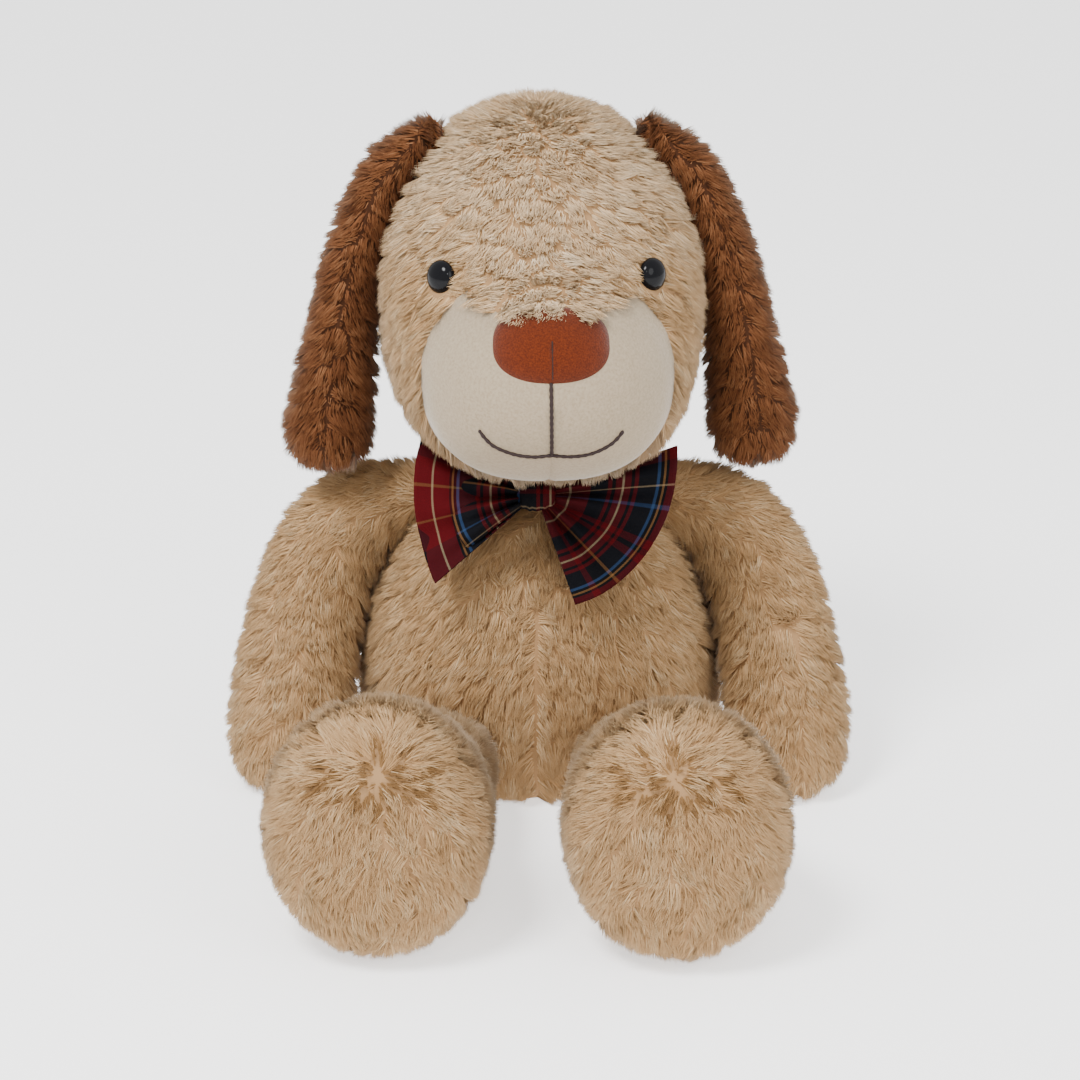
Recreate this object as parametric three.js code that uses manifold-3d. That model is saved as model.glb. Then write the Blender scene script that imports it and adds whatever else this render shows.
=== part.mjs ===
// Sitting plush dog: pile-fabric covers over stuffing, with a sewn neck, shoulders, hips, ears and tail,
// safety eyes locked by washers, a velour muzzle, a stuffed nose and a cloth bow tacked to the chest.
// Millimetres, +Z up. The dog faces -Y, its left side is +X, and the origin is the middle of the seat.
import * as THREE from "three";
import { mergeVertices } from "three/addons/utils/BufferGeometryUtils.js";
import Module from "manifold-3d";

const wasm = await Module();
wasm.setup();

// ---- Driving dimensions ----
const CLOTH = 2.0; // cover thickness: backing and the roots of the pile
const SEAM_GAP = 0.4; // between two covers along a seam
const HALF_GAP = SEAM_GAP / 2;
const FILL_GAP = 0.5; // between a cover and the stuffing inside it
const FILL_DEPTH = CLOTH + FILL_GAP;
const SEAM_TRIM = 0.003; // a seam gap across a form, as a share of its length or girth
const SEAT_LEVEL = 0; // the surface that the dog sits on
const HEAD_TURN = 4; // degrees to the dog's left
const FOOT_X = 60; // from the middle of the dog to the middle of a foot
const EYE_RADIUS = 7; // 14 mm safety eyes
const EYE_STEM_RADIUS = 2;
const EYE_WASHER_RADIUS = 9;
const EYE_PLACE = [43.5, -66.5, 243];
const EYE_AIM = [0.7, -0.7, 0.18]; // the way an eye looks
const NOSE_PLACE = [0, -109, 228];
const NOSE_SIZE = [24.5, 10, 17.5]; // half width, half depth and half height
const NOSE_LEAN = -22; // degrees that the pad's top leans back
const THREAD_RADIUS = 0.7;
const KNOT_PLACE = [0, -57, 144];
const KNOT_SIZE = [10.5, 8.5, 7]; // half width, half height and half depth
const BOW_LEAN = 24; // degrees that the bow's plane leans forward at the bottom
const BOW_CLOTH = 6; // a wing's thickness over both layers of its loop
const WING_ROOT = 13; // from the middle of the knot to a wing

const PILE_BEIGE = 0xc3a27c;
const PILE_BROWN = 0x7a4e33;
const VELOUR_CREAM = 0xcfc4b2;
const NOSE_RUST = 0x93481f;
const EYE_BLACK = 0x0c0d10;
const FIBRE_WHITE = 0xe9e6df;
const THREAD_DARK = 0x2a1b16;
const TARTAN_RED = 0x8c1a22;
const PELLET_GREY = 0xb9b6b0;

// ---- Geometry helpers ----
const V = (x, y, z) => new THREE.Vector3(x, y, z);
const X_AXIS = V(1, 0, 0);
const Y_AXIS = V(0, 1, 0);
const Z_AXIS = V(0, 0, 1);

// A closed mesh from points and triangles, without the triangles that a pole collapses.
function closedGeometry(points, triangles) {
  const flat = points.flatMap((p) => [p.x, p.y, p.z]);
  const raw = new THREE.BufferGeometry();
  raw.setAttribute("position", new THREE.Float32BufferAttribute(flat, 3));
  raw.setIndex(triangles.flat());
  const merged = mergeVertices(raw, 1e-3);
  const index = merged.index.array;
  const kept = [];
  for (let i = 0; i < index.length; i += 3) {
    const [a, b, c] = [index[i], index[i + 1], index[i + 2]];
    if (a !== b && b !== c && c !== a) kept.push(a, b, c);
  }
  merged.setIndex(kept);
  return merged;
}

// A soft form: ellipses strung along a spine. A station is [x, y, z, half width, half height].
// An ellipse's width runs along "side". Its plane is square to "normal", or to the spine if none is given.
// The form has "rows" steps from its first station to its last and "columns" steps round.
// Its surface is a point at (column, row) at a depth inside the skin. A thin form shrinks its ellipses
// with depth and any other moves along the skin's normal. Nothing reaches below the seat.
function softForm({ stations, side, normal, rows, columns, thin = false }) {
  const spine = new THREE.CatmullRomCurve3(
    stations.map(([x, y, z]) => V(x, y, z)), false, "catmullrom");
  const sizes = new THREE.CatmullRomCurve3(
    stations.map(([, , , wide, tall]) => V(wide, tall, 0)), false, "catmullrom");
  const directionAt = (v) => (normal ?? spine.getTangent(v)).clone().normalize();
  const skin = (u, v, shrink = 0) => {
    const along = directionAt(v);
    const across = side.clone().addScaledVector(along, -side.dot(along)).normalize();
    const up = along.clone().cross(across);
    const size = sizes.getPoint(v);
    const angle = 2 * Math.PI * u;
    const point = spine.getPoint(v);
    point.addScaledVector(across, Math.max(size.x - shrink, 0) * Math.cos(angle));
    point.addScaledVector(up, Math.max(size.y - shrink, 0) * Math.sin(angle));
    point.z = Math.max(point.z, SEAT_LEVEL + shrink);
    return point;
  };
  const outward = (u, v) => {
    const step = 1e-3;
    if (v < step) return directionAt(v).negate();
    if (v > 1 - step) return directionAt(v);
    const round = skin(u + step, v).sub(skin(u - step, v));
    const onward = skin(u, v + step).sub(skin(u, v - step));
    return round.cross(onward).normalize();
  };
  const pointAt = (column, row, depth = 0) => {
    const [u, v] = [column / columns, row / rows];
    if (thin) return skin(u, v, depth);
    const point = skin(u, v).addScaledVector(outward(u, v), -depth);
    point.z = Math.max(point.z, SEAT_LEVEL + depth);
    return point;
  };
  return { pointAt, rows, columns };
}

// From one whole or part step to another, by every whole step between.
function stepsBetween(from, to) {
  const between = [];
  for (let k = Math.floor(from) + 1; k < to - 0.01; k++) between.push(k);
  return [from, ...between.filter((k) => k > from + 0.01), to];
}

// A solid stretch of a form, closed by a flat fan at each end.
function fill(form, fromRow, toRow, depth = 0) {
  const points = [];
  const triangles = [];
  const around = form.columns;
  const starts = stepsBetween(fromRow, toRow).map((row) => {
    const start = points.length;
    for (let i = 0; i < around; i++) points.push(form.pointAt(i, row, depth));
    return start;
  });
  for (let r = 0; r + 1 < starts.length; r++) {
    for (let i = 0; i < around; i++) {
      const j = (i + 1) % around;
      const [a, b] = [starts[r] + i, starts[r] + j];
      const [c, d] = [starts[r + 1] + i, starts[r + 1] + j];
      triangles.push([a, b, d], [a, d, c]);
    }
  }
  for (const [start, turned] of [[starts[0], true], [starts.at(-1), false]]) {
    const middle = points.length;
    const rim = points.slice(start, start + around);
    points.push(rim.reduce((sum, p) => sum.add(p), V(0, 0, 0)).divideScalar(around));
    for (let i = 0; i < around; i++) {
      const [a, b] = [start + i, start + ((i + 1) % around)];
      triangles.push(turned ? [middle, b, a] : [middle, a, b]);
    }
  }
  return closedGeometry(points, triangles);
}

// A sewn panel: the stretch of a form between two columns and two rows, one cloth thick.
function panel(form, [fromColumn, toColumn], [fromRow, toRow], thick = CLOTH) {
  const whole = toColumn - fromColumn >= form.columns;
  const columns = stepsBetween(fromColumn, toColumn);
  const rows = stepsBetween(fromRow, toRow);
  const points = [];
  const triangles = [];
  const [outer, inner] = [0, thick].map((depth) =>
    rows.map((row) => columns.map((column) => points.push(form.pointAt(column, row, depth)) - 1)));
  const quad = (a, b, c, d) => triangles.push([a, b, c], [a, c, d]);
  const [lastRow, last] = [rows.length - 1, columns.length - 1];
  for (let r = 0; r < lastRow; r++) {
    for (let i = 0; i < last; i++) {
      quad(outer[r][i], outer[r][i + 1], outer[r + 1][i + 1], outer[r + 1][i]);
      quad(inner[r][i], inner[r + 1][i], inner[r + 1][i + 1], inner[r][i + 1]);
    }
    if (!whole) {
      quad(outer[r][0], outer[r + 1][0], inner[r + 1][0], inner[r][0]);
      quad(outer[r][last], inner[r][last], inner[r + 1][last], outer[r + 1][last]);
    }
  }
  for (let i = 0; i < last; i++) {
    quad(outer[0][i], inner[0][i], inner[0][i + 1], outer[0][i + 1]);
    quad(outer[lastRow][i], outer[lastRow][i + 1], inner[lastRow][i + 1], inner[lastRow][i]);
  }
  return closedGeometry(points, triangles);
}

// The same piece on the dog's other side.
function mirrored(geometry) {
  const made = geometry.clone().scale(-1, 1, 1);
  const index = made.index.array;
  for (let i = 0; i < index.length; i += 3) [index[i + 1], index[i + 2]] = [index[i + 2], index[i + 1]];
  return made;
}

function solidOf(geometry) {
  const bare = geometry.clone();
  bare.deleteAttribute("normal");
  bare.deleteAttribute("uv");
  const merged = mergeVertices(bare, 1e-3);
  return new wasm.Manifold(new wasm.Mesh({
    numProp: 3,
    vertProperties: new Float32Array(merged.attributes.position.array),
    triVerts: new Uint32Array(merged.index.array),
  }));
}

function geometryOf(solid) {
  const mesh = solid.getMesh();
  const made = new THREE.BufferGeometry();
  made.setAttribute("position", new THREE.BufferAttribute(new Float32Array(mesh.vertProperties), 3));
  made.setIndex(new THREE.BufferAttribute(new Uint32Array(mesh.triVerts), 1));
  return made;
}

const cut = (geometry, ...tools) =>
  geometryOf(tools.reduce((solid, tool) => solid.subtract(solidOf(tool)), solidOf(geometry)));

// Turns a shape made along +Y to point along a direction, and puts its origin at a place.
function aimed(geometry, direction, place) {
  const turn = new THREE.Quaternion().setFromUnitVectors(Y_AXIS, V(...direction).normalize());
  return geometry.clone().applyQuaternion(turn).translate(...place);
}

// A thread or cord laid through points.
function thread(points, steps, radius = THREAD_RADIUS) {
  const section = new THREE.Shape().absarc(0, 0, radius, 0, 2 * Math.PI);
  return new THREE.ExtrudeGeometry(section,
    { steps, curveSegments: 3, bevelEnabled: false, extrudePath: new THREE.CatmullRomCurve3(points) });
}

// ---- Soft forms ----
// Torso: rings up the body. Column 0 is the dog's left, 5 its back, 10 its right and 15 its front.
const torsoForm = softForm({
  side: X_AXIS, normal: Z_AXIS, rows: 10, columns: 20,
  stations: [
    [0, -2, -11, 0, 0],
    [0, -2, -7, 42, 36],
    [0, -2, 4, 64, 57],
    [0, -2, 25, 74, 66],
    [0, -2, 50, 76, 68],
    [0, -2, 74, 71, 64],
    [0, -1, 98, 61, 55],
    [0, 0, 117, 50, 45],
    [0, 0, 131, 37, 34],
    [0, 0, 139, 21, 20],
    [0, 0, 141, 0, 0],
  ],
});
const SEAT_SEAM_ROW = 1.5; // round the seat panel
const PELLET_TOP_ROW = 4;
const COLLAR_ROW = 9; // where the torso's covers meet the neck

// Head: rings from the front of the muzzle to the back of the skull.
// Column 0 is the dog's left, 6 the underside, 12 its right and 18 the top.
const headForm = softForm({
  side: X_AXIS, normal: Y_AXIS, rows: 12, columns: 24,
  stations: [
    [0, -119, 204, 0, 0],
    [0, -114, 204, 21, 18],
    [0, -104, 204, 36, 31],
    [0, -90, 203, 47, 41],
    [0, -76, 205, 53, 46],
    [0, -62, 211, 58, 53],
    [0, -44, 219, 63, 63],
    [0, -20, 226, 67, 71],
    [0, 6, 228, 67, 73],
    [0, 30, 229, 62, 69],
    [0, 49, 230, 50, 57],
    [0, 61, 231, 33, 38],
    [0, 67, 231, 0, 0],
  ],
});
const TOP_COLUMN = 18;
const CHIN_COLUMN = 30; // column 6, one turn on
const GUSSET_HALF_COLUMNS = 2;
const BRIDGE_ROW = 2.5; // where the forehead gusset meets the nose
const MUZZLE_ROW = 4; // the seam between the velour muzzle and the pile
const CROWN_ROW = 9; // the seam between the side and the back of the head
const GUSSET_END_ROW = 11;

const neckForm = softForm({
  side: X_AXIS, normal: Z_AXIS, rows: 4, columns: 16,
  stations: [
    [0, 1, 142, 15, 15],
    [0, 1, 144.5, 19, 19],
    [0, 1, 147.5, 19, 19],
    [0, 1, 150, 13, 13],
    [0, 1, 151.6, 4, 4],
  ],
});

// Ear: rings from the root to the tip. Columns 0 to 4 face out and 4 to 8 face the head.
const earForm = softForm({
  side: V(-0.25, 0.97, 0), rows: 8, columns: 8, thin: true,
  stations: [
    [38, 6, 292, 12, 2.6],
    [54, 5, 290, 17, 2.8],
    [67, 3, 274, 21, 3],
    [75, -1, 250, 24, 3],
    [81, -5, 226, 26, 3],
    [86, -10, 200, 27, 3],
    [90, -14, 175, 26, 3],
    [93, -17, 157, 19, 2.8],
    [94, -18, 149, 0, 0],
  ],
});
const EAR_CLOTH = 2.2;

// Arm: rings from the shoulder seam to the paw.
const armForm = softForm({
  side: Y_AXIS, rows: 8, columns: 12,
  stations: [
    [60, 0, 124, 11, 12],
    [73, -1, 122, 15, 16],
    [88, -4, 113, 17.5, 18.5],
    [100, -10, 96, 18.5, 19.5],
    [108, -20, 70, 20, 20.5],
    [112, -32, 42, 22, 22],
    [113, -40, 20, 21, 22],
    [112, -44, 6, 15, 16],
    [111, -46, -2, 0, 0],
  ],
});

// Leg: rings from the hip seam to the toes.
const legForm = softForm({
  side: X_AXIS, normal: V(0, -1, 0), rows: 9, columns: 16,
  stations: [
    [45, -68, 30, 15, 6],
    [46, -79, 31, 24, 15],
    [48, -95, 32, 29, 25],
    [51, -118, 34, 31, 32],
    [54, -142, 38, 34, 37],
    [58, -168, 46, 40, 46],
    [FOOT_X, -190, 51, 43, 51],
    [FOOT_X, -211, 52, 40, 47],
    [FOOT_X, -225, 52, 28, 34],
    [FOOT_X, -231, 52, 0, 0],
  ],
});
const SOLE_ROW = 6.5; // the seam between the leg and the foot's face

const tailForm = softForm({
  side: X_AXIS, rows: 4, columns: 10,
  stations: [
    [0, 69, 24, 6, 7],
    [0, 76, 25, 10, 11],
    [0, 86, 28, 12, 13],
    [0, 96, 33, 10, 11],
    [0, 103, 38, 0, 0],
  ],
});

// ---- Assembly ----
const dog = new THREE.Group();
const head = new THREE.Group(); // turned on the neck
head.rotation.z = THREE.MathUtils.degToRad(HEAD_TURN);
dog.add(head);

function add(name, geometry, colour, { roughness = 0.95, to = dog } = {}) {
  const material = new THREE.MeshStandardMaterial({ color: colour, roughness, metalness: 0 });
  const mesh = new THREE.Mesh(geometry, material);
  mesh.name = name;
  to.add(mesh);
}

// Adds a left piece as drawn and its mirrored right twin. SIDE in the name becomes left or right.
function addPair(name, geometry, colour, options) {
  add(name.replace("SIDE", "left"), geometry, colour, options);
  add(name.replace("SIDE", "right"), mirrored(geometry), colour, options);
}

function makeTorso() {
  const wallRows = [SEAT_SEAM_ROW + SEAM_TRIM * torsoForm.rows, COLLAR_ROW];
  const front = panel(torsoForm, [15, 20], wallRows).translate(HALF_GAP, -HALF_GAP, 0);
  const back = panel(torsoForm, [0, 5], wallRows).translate(HALF_GAP, HALF_GAP, 0);
  addPair("torso_front_SIDE", front, PILE_BEIGE);
  addPair("torso_back_SIDE", back, PILE_BEIGE);
  add("torso_seat", panel(torsoForm, [0, 20], [0, SEAT_SEAM_ROW]), PILE_BEIGE);
  add("pellet_bag", fill(torsoForm, 0.5, PELLET_TOP_ROW, FILL_DEPTH + HALF_GAP), PELLET_GREY);
  add("torso_stuffing", fill(torsoForm, PELLET_TOP_ROW + 0.08, 9.5, FILL_DEPTH + HALF_GAP), FIBRE_WHITE);
  const closing = [3, 3.5, 4, 4.5, 5, 5.5].map((row) => torsoForm.pointAt(5, row, -1.4));
  add("closing_stitches", thread(closing, 12), PILE_BEIGE);
}

// An eye: a domed button, its stem through the cover, and the washer that locks it from inside.
function eyeShapes() {
  const turned = (profile, around) =>
    new THREE.LatheGeometry([...profile].reverse().map(([r, y]) => new THREE.Vector2(r, y)), around);
  const bore = EYE_STEM_RADIUS + 0.25;
  const dome = [[0, 4.6], [2.6, 4.1], [4.9, 2.8], [6.4, 0.9], [EYE_RADIUS, -0.8], [6.2, -1.4]];
  const stem = [[EYE_STEM_RADIUS, -1.4], [EYE_STEM_RADIUS, -13], [0, -13]];
  const ring = [[bore, -9], [EYE_WASHER_RADIUS, -9], [EYE_WASHER_RADIUS, -10.6], [bore, -10.6], [bore, -9]];
  const rod = (radius, from, to) =>
    new THREE.CylinderGeometry(radius, radius, to - from, 18).translate(0, (from + to) / 2, 0);
  const placed = (geometry) => aimed(geometry, EYE_AIM, EYE_PLACE);
  return {
    eye: placed(turned([...dome, ...stem], 18)),
    washer: placed(turned(ring, 16)),
    pocket: placed(rod(EYE_WASHER_RADIUS + 0.5, -14, -2)),
    dimple: placed(rod(EYE_RADIUS + 0.5, -1.9, 20)),
    stemHole: placed(rod(EYE_STEM_RADIUS + 0.5, -20, 10)),
  };
}

function makeHead() {
  const cheekColumns = [TOP_COLUMN + GUSSET_HALF_COLUMNS, CHIN_COLUMN];
  const trim = SEAM_TRIM * headForm.rows;
  const { eye, washer, pocket, dimple, stemHole } = eyeShapes();
  const half = (rows) => panel(headForm, cheekColumns, rows).translate(HALF_GAP, 0, 0);
  addPair("muzzle_SIDE", cut(half([0.25, MUZZLE_ROW]), dimple, stemHole), VELOUR_CREAM, { to: head });
  addPair("head_side_SIDE", cut(half([MUZZLE_ROW + trim, CROWN_ROW]), dimple, stemHole), PILE_BEIGE,
    { to: head });
  addPair("head_back_SIDE", half([CROWN_ROW + trim, 11.9]), PILE_BEIGE, { to: head });
  const gussetHalf = GUSSET_HALF_COLUMNS - SEAM_TRIM * headForm.columns;
  add("head_gusset", panel(headForm, [TOP_COLUMN - gussetHalf, TOP_COLUMN + gussetHalf],
    [BRIDGE_ROW, GUSSET_END_ROW]), PILE_BEIGE, { to: head });
  const stuffing = fill(headForm, 0.5, 11.5, FILL_DEPTH + HALF_GAP);
  add("head_stuffing", cut(stuffing, pocket, mirrored(pocket), stemHole, mirrored(stemHole)), FIBRE_WHITE,
    { to: head });
  addPair("eye_SIDE", eye, EYE_BLACK, { roughness: 0.12, to: head });
  addPair("eye_washer_SIDE", washer, FIBRE_WHITE, { roughness: 0.5, to: head });
}

// The nose: a stuffed suede-like pad on top of the muzzle's front.
function makeNose() {
  const lean = THREE.MathUtils.degToRad(NOSE_LEAN);
  const [wide, deep, tall] = NOSE_SIZE;
  const pad = (inset, segments) => new THREE.SphereGeometry(1, segments, 12)
    .scale(wide - inset, deep - inset, tall - inset).rotateX(lean).translate(...NOSE_PLACE);
  const room = (gap) => fill(headForm, 0, 7, -gap);
  add("nose_cover", cut(pad(0, 20), room(0.4), pad(CLOTH, 20)), NOSE_RUST, { to: head });
  add("nose_stuffing", cut(pad(FILL_DEPTH, 20), room(0.8)), FIBRE_WHITE, { to: head });
}

// The mouth: one thread from under the nose to the smile, laid on the muzzle.
function makeMouth() {
  // The muzzle's skin at a width and a height, just clear of the cloth.
  const onMuzzle = (x, z) => {
    let nearest;
    for (let row = 0.05; row < MUZZLE_ROW; row += 0.02) {
      const rim = headForm.pointAt(0, row, -THREAD_RADIUS - 0.45);
      const top = headForm.pointAt(TOP_COLUMN, row, -THREAD_RADIUS - 0.45);
      const gap = Math.abs((x / rim.x) ** 2 + ((z - rim.z) / (top.z - rim.z)) ** 2 - 1);
      if (!nearest || gap < nearest.gap) nearest = { gap, y: rim.y };
    }
    return V(x, nearest.y - THREAD_RADIUS, z);
  };
  const smile = [[-31, 186], [-24, 180], [-14, 177.5], [0, 178], [14, 177.5], [24, 180], [31, 186]];
  const drop = [[0, 205], [0, 196], [0, 187], [0, 178]];
  const laid = (places, steps) => solidOf(thread(places.map(([x, z]) => onMuzzle(x, z)), steps));
  add("mouth_stitching", geometryOf(laid(smile, 24).add(laid(drop, 10))), THREAD_DARK, { to: head });
}

// Each ear is two cloths sewn edge to edge: brown pile outside and a lining that faces the head.
function makeEars() {
  const rows = [0, earForm.rows];
  addPair("ear_SIDE_outer", panel(earForm, [0, 4], rows, EAR_CLOTH).translate(HALF_GAP, 0, 0), PILE_BROWN,
    { to: head });
  addPair("ear_SIDE_lining", panel(earForm, [4, 8], rows, EAR_CLOTH).translate(-HALF_GAP, 0, 0), PILE_BROWN,
    { to: head });
}

function makeArms() {
  const rows = [0, armForm.rows];
  addPair("arm_SIDE_outer", panel(armForm, [0, 6], rows).translate(HALF_GAP, 0, HALF_GAP), PILE_BEIGE);
  addPair("arm_SIDE_inner", panel(armForm, [6, 12], rows).translate(-HALF_GAP, 0, 0), PILE_BEIGE);
  addPair("arm_SIDE_stuffing", fill(armForm, 1, 7, FILL_DEPTH + SEAM_GAP), FIBRE_WHITE);
}

function makeLegs() {
  const trim = SEAM_TRIM * legForm.rows;
  addPair("leg_SIDE_cover", panel(legForm, [0, 16], [0, SOLE_ROW]), PILE_BEIGE);
  addPair("leg_SIDE_sole", panel(legForm, [0, 16], [SOLE_ROW + trim, legForm.rows]), PILE_BEIGE);
  addPair("leg_SIDE_stuffing", fill(legForm, 1, 8, FILL_DEPTH), FIBRE_WHITE);
}

function makeTail() {
  add("tail_cover", panel(tailForm, [0, 10], [0, tailForm.rows]), PILE_BEIGE);
  add("tail_stuffing", fill(tailForm, 1, 3, FILL_DEPTH), FIBRE_WHITE);
}

// From the bow's own plane (x across, y up, z towards the front) to its place on the chest.
function bowPlaced(geometry) {
  return geometry.rotateX(THREE.MathUtils.degToRad(90 - BOW_LEAN)).translate(...KNOT_PLACE);
}

// A bow wing: a fan of cloth from the knot, between two angles, its outer corners rounded.
function wing(fromDegrees, toDegrees, reach) {
  const [from, to] = [fromDegrees, toDegrees].map(THREE.MathUtils.degToRad);
  const middle = (from + to) / 2;
  const rootSpread = 0.45;
  const corner = 0.1;
  const near = 0.88 * reach;
  const at = (angle, radius) => [radius * Math.cos(angle), radius * Math.sin(angle)];
  const outline = new THREE.Shape();
  outline.moveTo(...at(middle - rootSpread, WING_ROOT));
  outline.lineTo(...at(from, near));
  outline.quadraticCurveTo(...at(from, reach), ...at(from + corner, reach));
  outline.absarc(0, 0, reach, from + corner, to - corner, false);
  outline.quadraticCurveTo(...at(to, reach), ...at(to, near));
  outline.lineTo(...at(middle + rootSpread, WING_ROOT));
  outline.closePath();
  const plate = new THREE.ExtrudeGeometry(outline, { depth: BOW_CLOTH, bevelEnabled: false, curveSegments: 8 });
  return bowPlaced(plate.translate(0, 0, -BOW_CLOTH / 2));
}

function makeBow() {
  add("bow_wing_left", wing(-68, 9, 60), TARTAN_RED);
  add("bow_wing_right", wing(166, 218, 57), TARTAN_RED);
  const knot = new THREE.SphereGeometry(1, 14, 10).scale(...KNOT_SIZE);
  add("bow_knot", bowPlaced(knot), TARTAN_RED);
}

makeTorso();
add("neck_stuffing", fill(neckForm, 0, neckForm.rows), FIBRE_WHITE);
makeHead();
makeNose();
makeMouth();
makeEars();
makeArms();
makeLegs();
makeTail();
makeBow();

// The origin goes to the middle of the footprint, on the floor.
const extent = new THREE.Box3().setFromObject(dog);
const middle = extent.getCenter(V(0, 0, 0));
dog.position.set(-middle.x, -middle.y, -extent.min.z);

export default dog;
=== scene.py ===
# The look of the sitting plush dog: pile covers with real tufts, velour muzzle, suede nose,
# button eyes, embroidered mouth and a gathered cloth bow, each riding on its body of the frame.
import math
import bpy
import numpy as np
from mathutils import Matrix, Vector, kdtree
from mathutils.bvhtree import BVHTree


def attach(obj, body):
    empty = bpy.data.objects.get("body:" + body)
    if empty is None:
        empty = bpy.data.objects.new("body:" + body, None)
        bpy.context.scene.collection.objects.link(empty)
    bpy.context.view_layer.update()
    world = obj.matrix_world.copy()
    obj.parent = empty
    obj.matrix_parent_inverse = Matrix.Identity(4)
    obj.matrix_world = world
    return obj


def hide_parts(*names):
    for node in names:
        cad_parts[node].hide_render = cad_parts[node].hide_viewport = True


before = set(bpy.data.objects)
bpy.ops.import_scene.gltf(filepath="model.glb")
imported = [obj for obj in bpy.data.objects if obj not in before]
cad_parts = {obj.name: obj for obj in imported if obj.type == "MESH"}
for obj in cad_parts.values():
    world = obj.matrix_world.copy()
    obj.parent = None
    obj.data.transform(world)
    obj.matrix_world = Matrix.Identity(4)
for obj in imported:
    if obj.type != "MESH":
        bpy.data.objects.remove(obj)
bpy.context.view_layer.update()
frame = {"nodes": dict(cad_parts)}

MM = 0.001
ORIGIN_Y = 63.85      # the frame's origin is this far in front of the torso's middle, in mm
HEAD_TURN = math.radians(4)
rng = np.random.default_rng(11)


# ---------- forms: ellipses strung along a spine, in mm about the torso's middle ----------
def catmull(points, v):
    points = np.asarray(points, float)
    last = len(points) - 1
    t = np.clip(v, 0, 1) * last
    i = np.minimum(t.astype(int), last - 1)
    w = (t - i)[:, None]
    padded = np.vstack([2 * points[0] - points[1], points, 2 * points[-1] - points[-2]])
    p0, p1, p2, p3 = (padded[i + k] for k in range(4))
    return 0.5 * (2 * p1 + (p2 - p0) * w + (2 * p0 - 5 * p1 + 4 * p2 - p3) * w**2
                  + (3 * p1 - p0 - 3 * p2 + p3) * w**3)


def unit(a):
    return a / np.maximum(np.linalg.norm(a, axis=-1, keepdims=True), 1e-9)


class Form:
    """A skin as a function of u, once round, and v, from its first station to its last."""

    def __init__(self, stations, side, normal=None, shape=None, floor=True):
        self.stations = np.array(stations, float)
        self.side = np.array(side, float)
        self.normal = None if normal is None else np.array(normal, float)
        self.shape = shape
        self.floor = floor

    def axis(self, v):
        if self.normal is not None:
            return np.repeat(self.normal[None], len(v), 0)
        step = 1e-3
        ahead = catmull(self.stations[:, :3], np.clip(v + step, 0, 1))
        behind = catmull(self.stations[:, :3], np.clip(v - step, 0, 1))
        return unit(ahead - behind)

    def at(self, u, v):
        spot = catmull(self.stations[:, :3], v)
        size = np.maximum(catmull(self.stations[:, 3:5], v), 0)
        along = self.axis(v)
        across = unit(self.side - along * (along @ self.side)[:, None])
        up = np.cross(along, across)
        x = size[:, 0] * np.cos(2 * np.pi * u)
        y = size[:, 1] * np.sin(2 * np.pi * u)
        if self.shape is not None:
            x, y = self.shape(x, y, size, u, v)
        p = spot + across * x[:, None] + up * y[:, None]
        if self.floor:
            p[:, 2] = np.maximum(p[:, 2], 0)
        return p

    def frame(self, u, v):
        """Point, outward normal, the direction of growing v, and the area for a unit of u and v."""
        h = 2e-3
        p = self.at(u, v)
        v = np.clip(v, 2 * h, 1 - 2 * h)
        du = (self.at(u + h, v) - self.at(u - h, v)) / (2 * h)
        dv = (self.at(u, v + h) - self.at(u, v - h)) / (2 * h)
        n = np.cross(du, dv)
        return p, unit(n), unit(dv), np.linalg.norm(n, axis=1)


def fuller_jaw(x, y, size, u, v):
    """The head's lower half is squarer than an ellipse, and more so behind the muzzle."""
    behind = np.clip((v - 0.36) * 12, 0, 1) * np.clip((0.9 - v) * 5, 0, 1)
    power = 2 + (0.55 + 0.45 * behind) * (y > 0)
    c, s = np.abs(np.cos(2 * np.pi * u)), np.abs(np.sin(2 * np.pi * u))
    grow = (c**2 + s**2) ** 0.5 / (c**power + s**power) ** (1 / power)
    return x * grow, y * grow


# Each station is x, y and z of the middle, then the half width and the half depth.
TORSO = Form([
    [0, -2, -11, 0, 0], [0, -2, -7, 42, 36], [0, -2, 4, 65, 57], [0, -2, 25, 77, 66],
    [0, -2, 50, 79, 68], [0, -2, 74, 75, 64], [0, -1, 98, 65, 55], [0, 0, 117, 53, 45],
    [0, 0, 131, 38, 34], [0, 0, 139, 21, 20], [0, 0, 141, 0, 0]], (1, 0, 0), (0, 0, 1))
HEAD = Form([
    [0, -119, 204, 0, 0], [0, -114, 204, 21, 18], [0, -104, 204, 36, 31], [0, -90, 203, 47, 41],
    [0, -76, 205, 53, 46], [0, -62, 211, 58, 53], [0, -44, 219, 63, 63], [0, -20, 226, 67, 71],
    [0, 6, 228, 67, 73], [0, 30, 229, 62, 69], [0, 49, 230, 50, 57], [0, 61, 231, 33, 38],
    [0, 67, 231, 0, 0]], (1, 0, 0), (0, 1, 0), shape=fuller_jaw)
ARM = Form([
    [46, 1, 125, 10, 11], [69, -1, 121, 15, 17], [85, -4, 112, 17.5, 21],
    [97, -10, 95, 18.5, 22.5], [105, -20, 70, 20, 23.5], [110, -32, 42, 22, 24.5],
    [111, -40, 20, 21, 24], [111, -44, 6, 15, 17], [111, -46, -2, 0, 0]], (0, 1, 0))
LEG = Form([
    [42, -54, 30, 14, 9], [45, -76, 31, 24, 16], [48, -95, 32, 29, 25], [51, -118, 34, 31, 32],
    [54, -142, 38, 34, 37], [58, -168, 46, 40, 46], [60, -190, 51, 43, 51], [60, -211, 52, 40, 47],
    [60, -225, 52, 28, 34], [60, -231, 52, 0, 0]], (1, 0, 0), (0, -1, 0))
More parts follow.
